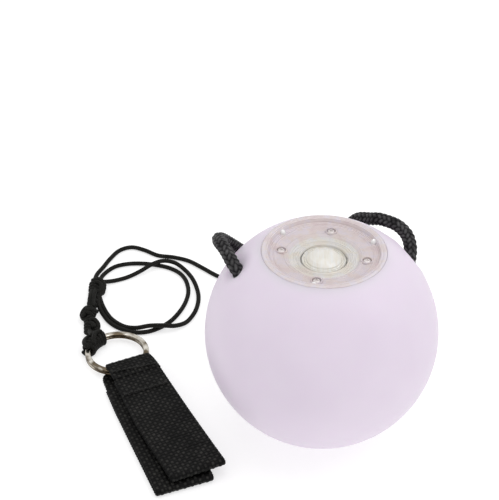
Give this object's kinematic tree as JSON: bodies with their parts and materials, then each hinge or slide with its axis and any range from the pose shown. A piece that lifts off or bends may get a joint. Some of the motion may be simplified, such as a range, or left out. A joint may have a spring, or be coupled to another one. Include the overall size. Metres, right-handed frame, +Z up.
{
  "type": "led poi ball",
  "caption": "Light-up poi ball: hollow silicone sphere with a push-button light module in its mouth, a braided rope handle, a thin knotted tether, a split ring and webbing finger loops.",
  "frame": {"origin": "centre of the ball's flat foot, on the surface that everything lies on", "axes": "+Z up through the ball and its light module; +Y from the ball towards the middle of the rope handle, away from the viewer; -X towards the split ring and the finger strap"},
  "size_m": [0.1302, 0.1466, 0.0739],
  "materials": {
    "silicone": "satin",
    "clear_plastic": "gloss",
    "seal_rubber": "matte",
    "white_plastic": "satin",
    "steel": "polished",
    "circuit_board": "matte",
    "chip_plastic": "matte",
    "rope_braid": "braided",
    "tether_cord": "braided",
    "webbing": "woven",
    "thread": "matte"
  },
  "bodies": {
    "root": {"ball_shell": "silicone", "rope_knot_left": "rope_braid", "rope_knot_right": "rope_braid", "handle_rope": "rope_braid", "rope_hitch": "tether_cord", "tether_cord": "tether_cord", "slack_loop_inner": "tether_cord", "slack_loop_outer": "tether_cord", "tether_knot_upper": "tether_cord", "tether_knot_wrapped": "tether_cord", "tether_knot_middle": "tether_cord", "tether_knot_lower": "tether_cord", "ring_hitch": "tether_cord", "strap_anchor": "webbing", "anchor_stitching": "thread"},
    "led_module": {"module_housing": "clear_plastic", "housing_gasket": "seal_rubber", "module_cover": "clear_plastic", "cover_screw_1": "steel", "cover_screw_2": "steel", "cover_screw_3": "steel", "cover_screw_4": "steel", "switch_body": "chip_plastic", "circuit_board": "circuit_board", "board_led_1": "white_plastic", "board_led_2": "white_plastic", "board_led_3": "white_plastic", "board_chip": "chip_plastic", "board_resistor_1": "chip_plastic", "board_resistor_2": "chip_plastic", "board_resistor_3": "chip_plastic", "battery_holder": "white_plastic", "battery_cell_1": "steel", "battery_cell_2": "steel", "battery_clip": "steel", "battery_spring": "steel"},
    "mode_button": {"button_cap": "clear_plastic", "button_core": "white_plastic"},
    "split_ring": {"split_ring": "steel"},
    "lower_loop": {"lower_finger_loop": "webbing"},
    "upper_loop": {"upper_finger_loop": "webbing", "loop_stitching": "thread"}
  },
  "joints": [
    {"name": "module_slide", "type": "slide", "parent": "root", "child": "led_module", "axis": [0, 0, 1], "range_m": [0, 0.032]},
    {"name": "button_press", "type": "slide", "parent": "led_module", "child": "mode_button", "axis": [0, 0, -1], "range_m": [0, 0.001], "stiffness_N_per_m": 400},
    {"name": "ring_spin", "type": "hinge", "parent": "root", "child": "split_ring", "pos_m": [-0.0745, 0.033, 0.0028], "axis": [0, 0, 1], "continuous": true},
    {"name": "lower_loop_lift", "type": "hinge", "parent": "root", "child": "lower_loop", "pos_m": [-0.06813, 0.01724, 0.0055], "axis": [-0.9272, -0.3746, 0], "range_deg": [0, 60]},
    {"name": "upper_loop_lift", "type": "hinge", "parent": "lower_loop", "child": "upper_loop", "pos_m": [-0.06701, 0.01751, 0.0062], "axis": [-0.9003, -0.4352, 0], "range_deg": [0, 100]}
  ]
}
